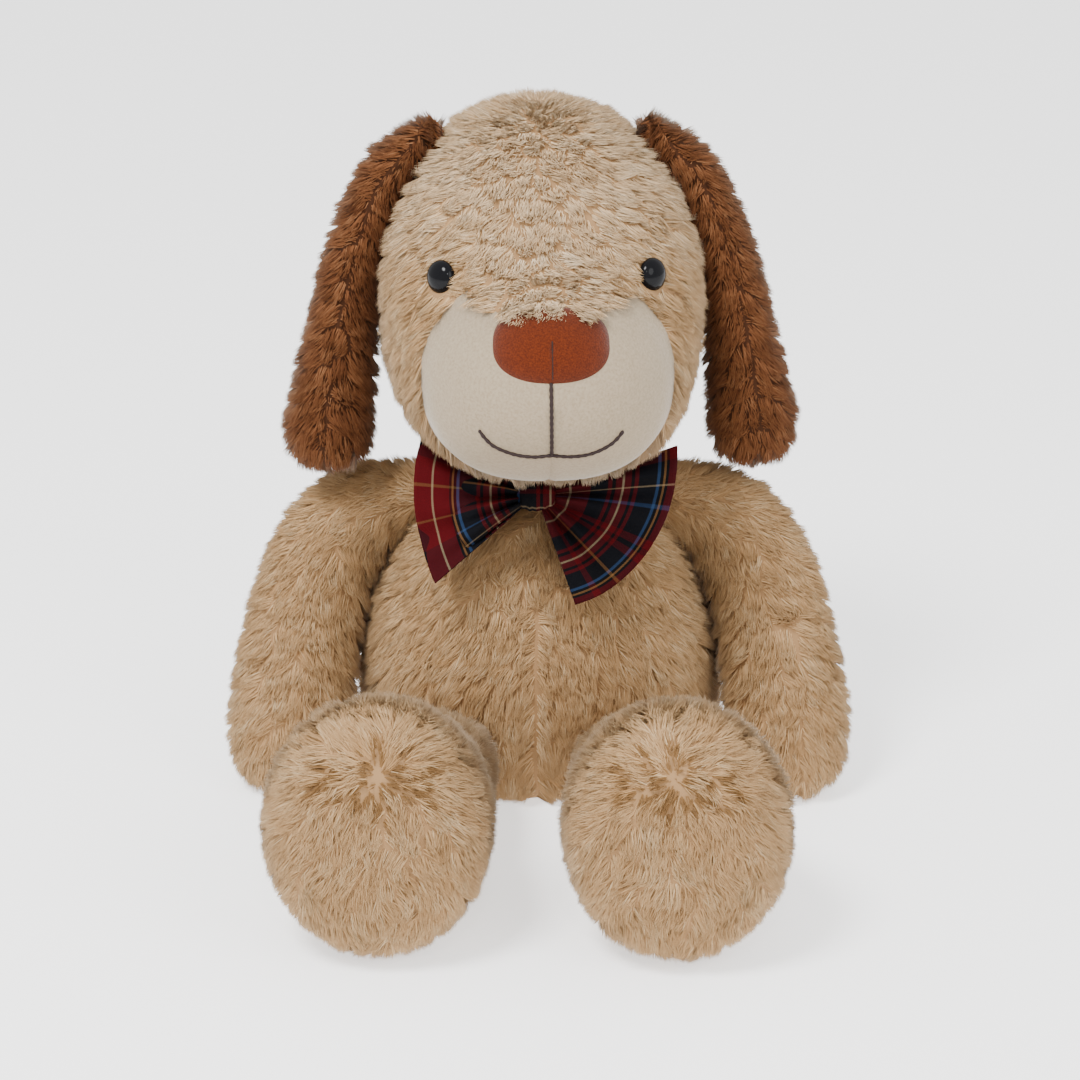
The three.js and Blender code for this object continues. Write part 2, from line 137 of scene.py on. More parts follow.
TAIL = Form([
    [0, 69, 24, 6, 7], [0, 76, 25, 10, 11], [0, 86, 28, 12, 13], [0, 96, 33, 10, 11],
    [0, 103, 38, 0, 0]], (1, 0, 0))


class Bridge:
    """The forehead gusset: a strip of the head's top that widens between the eyes and ends at the nose."""

    def __init__(self, form):
        self.form = form

    def at(self, u, v):
        half = np.interp(v * 12, [2.2, 2.8, 3.3, 4.0, 4.7, 5.4],
                         [0.066, 0.084, 0.098, 0.114, 0.094, 0.0833])
        return self.form.at(0.75 + (u - 0.5) * 2 * half, v)

    frame = Form.frame


BRIDGE = Bridge(HEAD)


def fold_depth(x, y, size, v):
    """How deep a point lies in the fold that runs down the front of the ear, from 0 to 1."""
    middle = -size[:, 0] * np.interp(v, [0, 0.5, 0.8, 1], [0.3, 0.3, 0.05, 0])
    notch = np.exp(-((x - middle) / (0.46 * size[:, 0] + 0.01)) ** 2) * (y < 0)
    return notch * np.clip((v - 0.18) * 4, 0, 1) * np.clip((0.97 - v) * 6, 0, 1)


def ear_fold(x, y, size, u, v):
    return x, y + 1.55 * size[:, 1] * fold_depth(x, y, size, v)


EAR = Form([
    [42, 4, 283, 5, 10], [54, 3, 282, 8, 13], [66, 2, 270, 10, 15], [75, -1, 250, 11, 16],
    [82, -4, 227, 12, 17], [87, -8, 201, 13.5, 18], [91, -12, 177, 16, 18], [93, -15, 162, 17, 16],
    [94, -16, 150, 12, 11], [94, -17, 146, 0, 0]], (1, 0.12, 0), shape=ear_fold, floor=False)


# ---------- materials ----------
def srgb(*dye):
    parts = [c / 255 for c in dye]
    return [c / 12.92 if c <= 0.04045 else ((c + 0.055) / 1.055) ** 2.4 for c in parts] + [1]


def shader(name, colour=None, roughness=0.9, sheen=0.0, sheen_roughness=0.5, specular=0.2):
    m = bpy.data.materials.new(name)
    m.use_nodes = True
    s = m.node_tree.nodes["Principled BSDF"]
    if colour is not None:
        s.inputs["Base Color"].default_value = colour
    s.inputs["Roughness"].default_value = roughness
    s.inputs["Sheen Weight"].default_value = sheen
    s.inputs["Sheen Roughness"].default_value = sheen_roughness
    s.inputs["Specular IOR Level"].default_value = specular
    return m, m.node_tree, s


def grain(tree, s, pattern, colours, relief, depth):
    """Base colour and bump from one pattern: colours are two places on its scale with their dyes."""
    place = tree.nodes.new("ShaderNodeTexCoord")
    ramp = tree.nodes.new("ShaderNodeValToRGB")
    for stop, (spot, dye) in zip(ramp.color_ramp.elements, colours):
        stop.position = spot
        stop.color = srgb(*dye)
    bump = tree.nodes.new("ShaderNodeBump")
    bump.inputs["Strength"].default_value = relief
    bump.inputs["Distance"].default_value = depth
    tree.links.new(place.outputs["Object"], pattern.inputs["Vector"])
    tree.links.new(pattern.outputs["Fac"], ramp.inputs["Fac"])
    tree.links.new(ramp.outputs["Color"], s.inputs["Base Color"])
    tree.links.new(pattern.outputs["Fac"], bump.inputs["Height"])
    tree.links.new(bump.outputs["Normal"], s.inputs["Normal"])


def napped(name, sheen, sheen_roughness, roughness, scale, detail, colours, relief):
    """A cloth with a fine even nap."""
    m, tree, s = shader(name, None, roughness, sheen, sheen_roughness, 0.1)
    nap = tree.nodes.new("ShaderNodeTexNoise")
    nap.inputs["Scale"].default_value = scale
    nap.inputs["Detail"].default_value = detail
    grain(tree, s, nap, colours, relief, 0.0004)
    return m


def spun(name, dye):
    """A spun thread or fibre, with its strands on the slant."""
    m, tree, s = shader(name, None, 0.7, 0.0, 0.3, 0.2)
    strands = tree.nodes.new("ShaderNodeTexWave")
    strands.bands_direction = "DIAGONAL"
    strands.inputs["Scale"].default_value = 900
    strands.inputs["Distortion"].default_value = 1.5
    grain(tree, s, strands, [(0, [c * 0.8 for c in dye]), (1, dye)], 0.4, 0.0002)
    return m


def pile_shades(name, shades):
    made = []
    for i, shade in enumerate(shades):
        m, _, s = shader(f"{name} {i + 1}", srgb(*shade), 0.85, 0.25, 0.4, 0.1)
        s.inputs["Sheen Tint"].default_value = WARM
        made.append(m)
    return made


WARM = (1.0, 0.84, 0.66, 1.0)     # the tint of light that grazes the pile
# Each coat has two golden shades for the short under-pile and four for the tips above it.
BEIGE = pile_shades("Beige pile", [(149, 117, 82), (158, 126, 89),
                                   (176, 141, 100), (183, 149, 108), (167, 131, 90), (194, 165, 127)])
PALE = pile_shades("Forehead pile", [(164, 134, 99), (174, 143, 108),
                                     (201, 171, 134), (208, 180, 143), (192, 160, 122), (217, 194, 162)])
BROWN = pile_shades("Brown pile", [(54, 30, 15), (62, 35, 18),
                                   (103, 63, 37), (113, 71, 43), (88, 51, 29), (128, 86, 56)])


# ---------- meshes ----------
def mesh_object(name, verts, faces_flat, face_sizes, slots, slot_index=None, normals=None):
    """verts in mm about the torso's middle."""
    mesh = bpy.data.meshes.new(name)
    co = np.asarray(verts, float).copy()
    co[:, 1] += ORIGIN_Y
    co *= MM
    mesh.vertices.add(len(co))
    mesh.vertices.foreach_set("co", co.ravel())
    mesh.loops.add(len(faces_flat))
    mesh.loops.foreach_set("vertex_index", np.asarray(faces_flat, np.int32))
    mesh.polygons.add(len(face_sizes))
    starts = np.concatenate([[0], np.cumsum(face_sizes)[:-1]]).astype(np.int32)
    mesh.polygons.foreach_set("loop_start", starts)
    mesh.polygons.foreach_set("loop_total", np.asarray(face_sizes, np.int32))
    if slot_index is not None:
        mesh.polygons.foreach_set("material_index", np.asarray(slot_index, np.int32))
    mesh.polygons.foreach_set("use_smooth", np.ones(len(face_sizes), bool))
    for m in slots:
        mesh.materials.append(m)
    mesh.update(calc_edges=True)
    mesh.validate()
    if normals is not None:
        mesh.normals_split_custom_set_from_vertices(unit(normals).tolist())
    o = bpy.data.objects.new(name, mesh)
    bpy.context.collection.objects.link(o)
    return o


def turned(p):
    """Points of the head, turned a little to one side as it sits on the neck."""
    c, s = math.cos(HEAD_TURN), math.sin(HEAD_TURN)
    q = np.array(p, float).copy()
    q[:, 0], q[:, 1] = c * p[:, 0] - s * p[:, 1], s * p[:, 0] + c * p[:, 1]
    return q


def grid_skin(form, u0, u1, v0, v1, around, along, inset=0.0):
    """Points and quads of a panel of the form's skin, faces outward. A first station that has
    a size is closed by a fan to its middle."""
    us = np.linspace(u0, u1, around + 1)
    vs = np.linspace(v0, v1, along + 1)
    u, v = (a.ravel() for a in np.meshgrid(us, vs))
    p, n, _, _ = form.frame(u, v)
    p = p - n * inset
    stations = getattr(form, "stations", None)
    if v0 == 0 and stations is not None and stations[0, 3] > 0:
        p = np.vstack([np.repeat(stations[:1, :3], around + 1, 0), p])
        n = np.vstack([np.repeat(-form.axis(np.zeros(1)), around + 1, 0), n])
        along += 1
    k = np.arange(along)[:, None] * (around + 1) + np.arange(around)[None]
    a = k.ravel()
    quads = np.stack([a, a + 1, a + around + 2, a + around + 1], 1)
    return p, n, quads


def weld(p, n, quads):
    """The skin with the corners that meet at a pole made one."""
    _, first, where = np.unique(np.round(p, 3), axis=0, return_index=True, return_inverse=True)
    where = where.ravel()
    faces = []
    for quad in where[quads]:
        face = [q for i, q in enumerate(quad) if q != quad[i - 1]]
        if len(set(face)) == len(face) >= 3:
            faces.append(face)
    flat = np.array([q for face in faces for q in face])
    return p[first], n[first], flat, np.array([len(face) for face in faces])


def sample(form, u0, u1, v0, v1, density):
    """Even random places on the skin, density per square mm."""
    us, vs = (a.ravel() for a in np.meshgrid(np.linspace(u0, u1, 40), np.linspace(v0, v1, 60)))
    area = form.frame(us, vs)[3]
    top = area.max() * 1.02
    region = (u1 - u0) * (v1 - v0)
    tries = int(density * top * region)
    u = rng.uniform(u0, u1, tries)
    v = rng.uniform(v0, v1, tries)
    p, n, dv, a = form.frame(u, v)
    keep = rng.uniform(0, top, tries) < a
    return u[keep], v[keep], p[keep], n[keep], dv[keep]


DENSITY = 2.2         # tufts to a square mm where the coat is thickest
BACK_DENSITY = 1.3
TUFT = 0.75           # a tuft's width at its root, in mm
LOCK = 5.6            # how far apart the locks are, in mm
UNDER_SHARE = 0.34    # the share of short golden tufts
TONES = np.array([4, 2, 3, 5])   # coat shades from dark to light


def clump(p, n, count):
    """For each tuft, the way along the skin to the middle of its lock."""
    picks = rng.choice(len(p), size=min(count, len(p)), replace=False)
    tree = kdtree.KDTree(len(picks))
    for i, k in enumerate(picks):
        tree.insert(p[k], i)
    tree.balance()
    near = np.array([tree.find(q)[1] for q in p])
    to = p[picks[near]] - p
    to -= n * (to * n).sum(1)[:, None]
    return to, near, len(picks)


def tufts(p, n, comb, length, width, locks, lift=0.45, pull=0.5, wild=0.2, floor=True):
    """Three-sided spikes that lean over along comb, gathered into so many locks.
    lift is how far a tuft stands up: 0 lies flat and 1 is upright."""
    count = len(p)
    comb = unit(comb - n * (comb * n).sum(1)[:, None])
    side = np.cross(n, comb)
    to, near, locks = clump(p, n, locks)
    under = rng.random(count) < UNDER_SHARE
    sway = rng.normal(0, 0.28, locks)[near] + rng.normal(0, wild, count)
    rise = lift + rng.normal(0, 0.09, locks)[near] + rng.normal(0, 0.06, count)
    rise = np.clip(rise, 0.12, 1)[:, None]
    lean = unit(comb + side * sway[:, None])
    size = length * rng.uniform(0.8, 1.1, count) * rng.uniform(0.88, 1.1, locks)[near]
    size = (size * np.where(under, 0.55, 1))[:, None]
    start = p - n * 0.8
    tip = p + size * (n * (0.25 + 0.65 * rise) + lean * (1.0 - 0.62 * rise)) + to * pull
    if floor:
        start[:, 2] = np.maximum(start[:, 2], 0.3)
        tip[:, 2] = np.maximum(tip[:, 2], 0.15 + rng.uniform(0, 0.5, count))
    ahead = unit(tip - start)
    b = unit(np.cross(ahead, side + 0.01))
    c = np.cross(ahead, b)
    twist = rng.uniform(0, 2 * np.pi, count)
    points, outward = [], []
    for k in range(3):
        a = (twist + 2 * np.pi * k / 3)[:, None]
        out = b * np.cos(a) + c * np.sin(a)
        points.append(start + out * width * 0.5)
        outward.append(out * 0.4 + n)
    points.append(tip)
    outward.append(n + ahead * 0.15)
    verts, normals = np.stack(points, 1), unit(np.stack(outward, 1))
    if floor:
        verts[:, :, 2] = np.maximum(verts[:, :, 2], 0.05)
    base = (np.arange(count) * 4)[:, None]
    tris = np.concatenate([base + np.array([k, (k + 1) % 3, 3]) for k in range(3)])
    shade = rng.normal(0, 1, locks)[near] * 0.55 + rng.normal(0, 0.85, count)
    tone = np.where(under, rng.integers(0, 2, count), TONES[np.digitize(shade, [-0.8, 0.35, 1.5])])
    sizes = np.full(len(tris), 3)
    return verts.reshape(-1, 3), normals.reshape(-1, 3), tris.ravel(), sizes, np.tile(tone, 3)


def furry(name, skin, coats, shades, on_head=False, mirror=False):
    """One piece: its backing panel and the pile grown on it."""
    p, n, flat, size = weld(*skin)
    verts, normals, flats, sizes, index, total = [p], [n], [flat], [size], [np.zeros(len(size), int)], len(p)
    for v, n, flat, size, idx in coats:
        verts.append(v)
        normals.append(n)
        flats.append(flat + total)
        sizes.append(size)
        index.append(idx)
        total += len(v)
    verts, normals = np.concatenate(verts), np.concatenate(normals)
    flat, size, idx = np.concatenate(flats), np.concatenate(sizes), np.concatenate(index)
    if mirror:
        verts = verts * [-1, 1, 1]
        normals = normals * [-1, 1, 1]
        ends = np.cumsum(size)
        starts = ends - size
        order = np.concatenate([np.arange(e - 1, s - 1, -1) for s, e in zip(starts, ends)])
        flat = flat[order]
    if on_head:
        verts, normals = turned(verts), turned(normals)
    return mesh_object(f"{name}_pile", verts, flat, size, shades, idx, normals)


def toward(p, direction):
    return np.repeat(np.array(direction, float)[None], len(p), 0)


def done(o, body, nodes):
    """The piece rides on its body in place of its nodes."""
    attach(o, body)
    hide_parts(*nodes)


def panel(form, u0, u1, v0, v1, density, length, comb, around=16, along=20, inset=0.0, bare=None,
          width=TUFT, **more):
    """A backing panel and its coat. bare says which places carry no pile."""
    skin = grid_skin(form, u0, u1, v0, v1, around, along, inset)
    u, v, p, n, dv = sample(form, u0, u1, v0, v1, density)
    if bare is not None:
        keep = ~bare(p)
        u, v, p, n, dv = u[keep], v[keep], p[keep], n[keep], dv[keep]
    locks = max(4, int(len(p) / density / LOCK**2))
    if callable(length):
        length = length(u, v)
    coat = tufts(p, n, comb(p, n, dv, u, v), length, width, locks, **more)
    return skin, coat


# Torso: pile runs down the body and parts at the front seam.
def torso_comb(p, n, dv, u, v):
    part = np.sign(p[:, 0]) * np.exp(-(p[:, 0] / 5.0) ** 2) * (p[:, 1] < 0) * (p[:, 2] < 95) * 0.9
    return toward(p, (0, 0, -1)) + toward(p, (1, 0, 0)) * (part + 0.15 * np.sin(p[:, 2] / 9.0))[:, None]


BODY_PILE = 8.5
SEAT_SEAM = 0.12
for name, u0, u1, density in (("torso_front", 0.75, 1.0, DENSITY), ("torso_back", 0.0, 0.25, BACK_DENSITY)):
    for side in ("left", "right"):
        skin, coat = panel(TORSO, u0, u1, SEAT_SEAM, 1, density, BODY_PILE, torso_comb)
        o = furry(f"{name}_{side}", skin, [coat], BEIGE, mirror=side == "right")
        done(o, "torso", [f"{name}_{side}"])

# Seat: the flat underside, with no room for pile. It runs a little way up inside the covers.
seat = furry("torso_seat", grid_skin(TORSO, 0, 1, 0.0, SEAT_SEAM + 0.04, 40, 4), [], BEIGE)
done(seat, "torso", ["torso_seat"])

# Head
CROWN_Y = 12.0        # the pile parts along the crown, this far behind the middle


def head_comb(p, n, dv, u, v):
    """Down the face in front of the crown and down the nape behind it."""
    crown = np.tanh((p[:, 1] - CROWN_Y) / 22.0)
    out = np.sign(p[:, 0]) * 0.35 * np.clip(np.abs(p[:, 0]) / 30.0, 0, 1)
    return toward(p, (0, 0, -1)) + np.stack([out, 0.55 * crown, 0 * out], 1)


def fringe_comb(p, n, dv, u, v):
    """Forward and down over the nose."""
    return toward(p, (0, -0.5, -1))


def pale_top(coat):
    """The forehead's tips are paler, and fade into the coat round them."""
    verts, normals, flat, sizes, index = coat
    x, y, z = verts.reshape(-1, 4, 3)[:, 0].T
    high, middle = np.clip((z - 235) / 40, 0, 1), np.exp(-((x / 32) ** 4))
    share = np.clip((45 - y) / 70, 0, 1) * np.maximum(high, middle)
    pale = rng.random(len(share)) < share
    return verts, normals, flat, sizes, index + len(BEIGE) * np.tile(pale, 3)


HEAD_COAT = BEIGE + PALE
EYE = np.array([43.3, -64.5, 243.7])
EYE_CLEAR = 7.2       # the pile is parted this far round each eye, and a little more above and below


def near_eye(p):
    tall = np.array([1, 1, 0.85])
    gap = (np.stack([np.abs(p[:, 0]), p[:, 1], p[:, 2]], 1) - EYE) * tall
    return (gap**2).sum(1) < EYE_CLEAR**2


# Where the head's panels meet: v runs from the nose to the nape, and u round from the middle of the top.
GUSSET = 2 / 24
MUZZLE_SEAM, EAR_SEAM = 4 / 12, 9 / 12
HEAD_PILE, GUSSET_PILE, FRINGE_PILE = 7.5, 8.5, 11.5
for side in ("left", "right"):
    for part, u0, v0, v1, density, bare in (("side", 0.742, MUZZLE_SEAM, EAR_SEAM, DENSITY, near_eye),
                                            ("back", 0.75, EAR_SEAM, 1, BACK_DENSITY, None)):
        skin, coat = panel(HEAD, u0 + GUSSET, 1.25, v0, v1, density, HEAD_PILE, head_comb, bare=bare)
        o = furry(f"head_{part}_{side}", skin, [pale_top(coat)], HEAD_COAT, on_head=True,
                  mirror=side == "right")
        done(o, "head", [f"head_{part}_{side}"])
skin, coat = panel(BRIDGE, 0, 1, 2.25 / 12, 1, DENSITY, GUSSET_PILE, head_comb, inset=-0.4,
                   bare=near_eye, lift=0.36, pull=0.4)
_, fringe = panel(BRIDGE, 0.03, 0.97, 2.2 / 12, 2.75 / 12, 3.6, FRINGE_PILE, fringe_comb, width=TUFT * 1.15,
                  lift=0.36, pull=0.5)
o = furry("head_gusset", skin, [pale_top(coat), pale_top(fringe)], HEAD_COAT, on_head=True)
done(o, "head", ["head_gusset"])

# Muzzle: two bare velour panels with a seam down the middle.
VELOUR = napped("Cream velour", 0.5, 0.35, 0.9, 900, 3,
                [(0.3, (142, 126, 103)), (0.7, (157, 142, 120))], 0.25)
CHIN_Z = 180.0        # the seam is deeper under the chin than in front, where the stitching lies on it
for side in ("left", "right"):
    p, n, quads = grid_skin(HEAD, 0.75, 1.25, 0, MUZZLE_SEAM + 0.0025, 64, 44)
    seam = np.exp(-(p[:, 0] / 1.1) ** 2) * np.where(p[:, 2] < CHIN_Z, 0.8, 0.25) * (p[:, 1] < -70)
    p = p - n * seam[:, None]
    if side == "right":
        p, n, quads = p * [-1, 1, 1], n * [-1, 1, 1], quads[:, ::-1]
    p, n, flat, sizes = weld(turned(p), turned(n), quads)
    o = mesh_object(f"muzzle_{side}_velour", p, flat, sizes, [VELOUR])
    done(o, "head", [f"muzzle_{side}"])


# ---------- face ----------
def skin_tree(p, quads):
    return BVHTree.FromPolygons([Vector(q) for q in p], [tuple(q) for q in quads])


face_points, _, face_quads = grid_skin(HEAD, 0, 1, 0, 0.5, 96, 70)
SKIN = skin_tree(face_points, face_quads)
NOSE = Vector((0, -107, 226))
NOSE_UP = Vector((0, 0.59, 0.81)).normalized()
NOSE_OUT = Vector((0, -0.81, 0.59)).normalized()


def laid_on(point, direction):
    """Where a point drops on the muzzle's skin, going inward along direction."""
    hit, normal, _, _ = SKIN.ray_cast(Vector(point) + Vector(direction) * 40, -Vector(direction))
    if hit is None:
        hit, normal, _, _ = SKIN.find_nearest(Vector(point))
    return hit, normal


# Nose: a padded suede pad, flatter on top, laid on the front of the muzzle.
SUEDE = napped("Rust suede", 0.35, 0.4, 0.95, 1400, 4, [(0.3, (66, 24, 9)), (0.72, (96, 39, 14))], 0.4)
NOSE_HALF_WIDTH, NOSE_HALF_HEIGHT, NOSE_RISE = 24.3, 16.8, 5.2
RINGS, SPOKES = 20, 96
points = []
for i in range(RINGS + 1):
    reach = i / RINGS
    for k in range(SPOKES):
        a = 2 * math.pi * k / SPOKES
        c, t = math.cos(a), math.sin(a)
        power = 2.9 if t > 0 else 2.25
        edge = 1 / (abs(c) ** power + abs(t) ** power) ** (1 / power)
        across = NOSE_HALF_WIDTH * c * edge * reach
        high = NOSE_HALF_HEIGHT * t * edge * reach
        spot, _ = laid_on(NOSE + Vector((1, 0, 0)) * across + NOSE_UP * high, NOSE_OUT)
        rise = NOSE_RISE * (1 - reach**3.2) ** 0.6 - 0.6
        dent = 1.1 * math.exp(-((across / 0.9) ** 2)) * max(0, min(1, -high / 4)) * min(1, (1 - reach) * 8)
        points.append(spot + NOSE_OUT * (rise - dent))
faces = []
for i in range(RINGS):
    for k in range(SPOKES):
        j = (k + 1) % SPOKES
        a, b = i * SPOKES + k, i * SPOKES + j
        faces.append((a, a + SPOKES, b + SPOKES, b))
points = np.array(points)
nose_tree = skin_tree(points, faces)
points, _, flat, sizes = weld(turned(points), turned(points), np.array(faces))
o = mesh_object("nose_pad", points, flat, sizes, [SUEDE])
done(o, "head", ["nose_cover", "nose_stuffing"])


def tube(path, radius, sides=8, stitch=0.0, every=3.0):
    """A thread through points in mm, rising and dipping a little with each stitch."""
    path = np.array(path, float)
    length = np.concatenate([[0], np.cumsum(np.linalg.norm(np.diff(path, axis=0), axis=1))])
    t = unit(np.gradient(path, axis=0))
    side = unit(np.cross(t, [0, -1, 0.3]))
    up = np.cross(side, t)
    r = radius * (1 + stitch * np.cos(2 * np.pi * length / every))
    r[0] = r[-1] = radius * 0.3
    a = 2 * np.pi * np.arange(sides) / sides
    ring = side[:, None] * np.cos(a)[None, :, None] + up[:, None] * np.sin(a)[None, :, None]
    verts = (path[:, None] + ring * r[:, None, None]).reshape(-1, 3)
    faces = []
    for i in range(len(path) - 1):
        for k in range(sides):
            j = (k + 1) % sides
            faces += [(i * sides + k, i * sides + j, (i + 1) * sides + j, (i + 1) * sides + k)]
    return verts, faces


def threads(name, tubes, m):
    """One piece made of several threads."""
    starts = np.cumsum([0] + [len(verts) for verts, _ in tubes])
    faces = np.concatenate([np.array(quads) + start for (_, quads), start in zip(tubes, starts)])
    return mesh_object(name, np.concatenate([verts for verts, _ in tubes]), faces.ravel(),
                       np.full(len(faces), 4), [m])


def smooth_path(points, count):
    return catmull(np.array(points, float), np.linspace(0, 1, count))


# Mouth: a smile with a line up to the nose, as x and z, and a fine crease up the nose itself.
INK, _, _ = shader("Mouth thread", srgb(38, 24, 22), 0.6, 0.1, 0.3, 0.25)
THREAD_RADIUS, CREASE_RADIUS = 0.78, 0.3
SMILE = [(-29.7, 189.3), (-26.8, 185.4), (-23.2, 182.2), (-15, 179.2), (-7, 178.4), (0, 179.4),
         (7.6, 178.2), (16, 178.6), (23.4, 181.6), (27.0, 184.6), (29.5, 188.0)]
DROP = [(-0.6, 212.5), (-0.5, 205), (-0.3, 194), (0, 179.4)]
lines = []
for places, count in ((SMILE, 90), (DROP, 50)):
    path = []
    for x, _, z in smooth_path([(x, 0, z) for x, z in places], count):
        slope = float(np.interp(z, [180, 205, 215], [0.36, 0.1, -0.2]))
        spot, normal = laid_on((x, -112, z), Vector((0, -0.94, -slope)).normalized())
        path.append(spot + normal * 0.3)
    lines.append((path, THREAD_RADIUS))
crease = []
for high in np.linspace(-15.5, -1, 24):
    start = NOSE + NOSE_UP * high + NOSE_OUT * 30
    hit, _, _, _ = nose_tree.ray_cast(start, -NOSE_OUT)
    crease.append(hit + NOSE_OUT * 0.05)
lines.append((crease, CREASE_RADIUS))
sewn = [tube(turned(np.array(path)), radius, stitch=0.16) for path, radius in lines]
o = threads("mouth_thread", sewn, INK)
done(o, "head", ["mouth_stitching"])

# Eyes: domed buttons, with a rim that sits on the cloth.
GLOSS, _, _ = shader("Eye gloss", (0.004, 0.004, 0.005, 1), 0.1, specular=0.12)
EYE_RADIUS, EYE_RISE, EYE_RIM = 7.1, 4.5, 1.6


def eye_dome(name, sign):
    """A flattened ball cut off under its widest ring, with a rim drawn in below it."""
    bpy.ops.object.select_all(action="DESELECT")
    bpy.ops.mesh.primitive_uv_sphere_add(segments=44, ring_count=26, radius=1, location=(0, 0, 0))
    o = bpy.context.object
    o.name = o.data.name = name
    bpy.ops.object.mode_set(mode="EDIT")
    bpy.ops.mesh.select_all(action="SELECT")
    bpy.ops.transform.resize(value=(EYE_RADIUS * MM, EYE_RADIUS * MM, EYE_RISE * MM))
    bpy.ops.mesh.bisect(plane_co=(0, 0, -0.3 * MM), plane_no=(0, 0, 1), clear_inner=True, use_fill=True)
    bpy.ops.mesh.extrude_region_move(TRANSFORM_OT_translate={"value": (0, 0, -EYE_RIM * MM)})
    bpy.ops.transform.resize(value=(0.88, 0.88, 1))
    bpy.ops.mesh.select_all(action="SELECT")
    bpy.ops.mesh.remove_doubles(threshold=0.01 * MM)
    bpy.ops.mesh.normals_make_consistent(inside=False)
    bpy.ops.object.mode_set(mode="OBJECT")
    aim = Vector((0.7 * sign, -0.7, 0.18)).normalized()
    seat = Vector((EYE[0] * sign, EYE[1], EYE[2])) + aim * 1.2
    seat, aim = (Vector(turned(np.array([q]))[0]) for q in (seat, aim))
    o.rotation_euler = Vector((0, 0, 1)).rotation_difference(aim).to_euler()
    o.location = (seat + Vector((0, ORIGIN_Y, 0))) * MM
    bpy.ops.object.transform_apply(location=True, rotation=True, scale=True)
    bpy.ops.object.shade_smooth_by_angle(angle=math.radians(50))
    o.data.materials.clear()
    o.data.materials.append(GLOSS)
    return o


for side, sign in (("left", 1), ("right", -1)):
    done(eye_dome(f"eye_{side}_dome", sign), "head", [f"eye_{side}"])

# Neck: a short collar of pile between the torso and the head, domed over where the head sits on it.
NECK_RIM = 157.0
COLLAR = Form([
    [0, 0, 126, 40, 37], [0, 0, 134, 37, 35], [0, 1, 142, 35, 33], [0, 1, 150, 35, 33],
    [0, 1, 157, 37, 35], [0, 1, 163, 31, 29], [0, 1, 167, 16, 15], [0, 1, 168, 0, 0]], (1, 0, 0), (0, 0, 1))


def down(p, n, dv, u, v):
    return toward(p, (0, 0, -1))


def under_head(p):
    return p[:, 2] > NECK_RIM


skin, coat = panel(COLLAR, 0, 1, 0.0, 1.0, 0.4, 6.0, down, around=32, along=14, bare=under_head)
o = furry("neck_stuffing", skin, [coat], BEIGE)
done(o, "neck", ["neck_stuffing"])

# ---------- bow ----------
# Checked cloth: stripes one way and the other, crossed by a fine twill. Each stripe is where it
# starts, in mm, and its dye.
WARP = [(0, "red"), (7.5, "cream"), (8.3, "red"), (15.4, "black"), (16.4, "gold"), (17.4, "black"),
        (18.6, "sky"), (19.8, "navy"), (27, "red"), (28.6, "black"), (30, "red"), (32.6, "cream"),
        (33.5, "red"), (36, "black"), (37.4, "red"), (39, "navy")]
WEFT = [(0, "navy"), (5, "red"), (7, "black"), (12, "gold"), (12.8, "navy"), (19, "red"), (21, "black"),
        (22, "red"), (24, "navy"), (31, "sky"), (32, "navy"), (38, "cream"), (38.6, "black"), (42, "navy"),
        (46, "red"), (55, "gold"), (55.8, "red"), (66, "gold"), (66.8, "red"), (76, "navy")]
WARP_REPEAT, WEFT_REPEAT, TWILL_PITCH = 46.0, 84.0, 0.7
DYES = {"red": srgb(66, 2, 7), "cream": srgb(118, 103, 80), "black": srgb(4, 4, 5),
        "gold": srgb(98, 68, 38), "sky": srgb(32, 52, 82), "navy": srgb(5, 6, 11)}


def checked_cloth():
    """Warp and weft stripes laid out by the cloth's own UV map, which is in mm of flat cloth."""
    m, tree, s = shader("Checked cloth", None, 0.85, 0.0, 0.4, 0.1)
    new, link = tree.nodes.new, tree.links.new
    uv = new("ShaderNodeUVMap")
    uv.uv_map = "cloth"
    split = new("ShaderNodeSeparateXYZ")
    link(uv.outputs["UV"], split.inputs["Vector"])

    def sums(kind, a, b=None):
        node = new("ShaderNodeMath")
        node.operation = kind
        for i, value in enumerate((a, b)):
            if isinstance(value, (int, float)):
                node.inputs[i].default_value = value
            elif value is not None:
                link(value, node.inputs[i])
        return node.outputs["Value"]

    colours = []
    for axis, stripes, repeat in (("X", WARP, WARP_REPEAT), ("Y", WEFT, WEFT_REPEAT)):
        part = sums("FRACT", sums("MULTIPLY", split.outputs[axis], 1 / repeat))
        ramp = new("ShaderNodeValToRGB")
        ramp.color_ramp.interpolation = "CONSTANT"
        stops = ramp.color_ramp.elements
        stops[0].position, stops[0].color = 0, DYES[stripes[0][1]]
        stops[1].position, stops[1].color = stripes[1][0] / repeat, DYES[stripes[1][1]]
        for place, dye in stripes[2:]:
            stop = stops.new(place / repeat)
            stop.color = DYES[dye]
        link(part, ramp.inputs["Fac"])
        colours.append(ramp.outputs["Color"])
    slant = sums("ADD", split.outputs["X"], split.outputs["Y"])
    twill = sums("SINE", sums("MULTIPLY", slant, 2 * math.pi / TWILL_PITCH))
    share = sums("ADD", sums("MULTIPLY", twill, 0.2), 0.4)
    mix = new("ShaderNodeMix")
    mix.data_type = "RGBA"
    link(share, mix.inputs["Factor"])
    link(colours[0], mix.inputs["A"])
    link(colours[1], mix.inputs["B"])
    link(mix.outputs["Result"], s.inputs["Base Color"])
    bump = new("ShaderNodeBump")
    bump.inputs["Strength"].default_value = 0.3
    bump.inputs["Distance"].default_value = 0.0002
    link(twill, bump.inputs["Height"])
    link(bump.outputs["Normal"], s.inputs["Normal"])
    return m


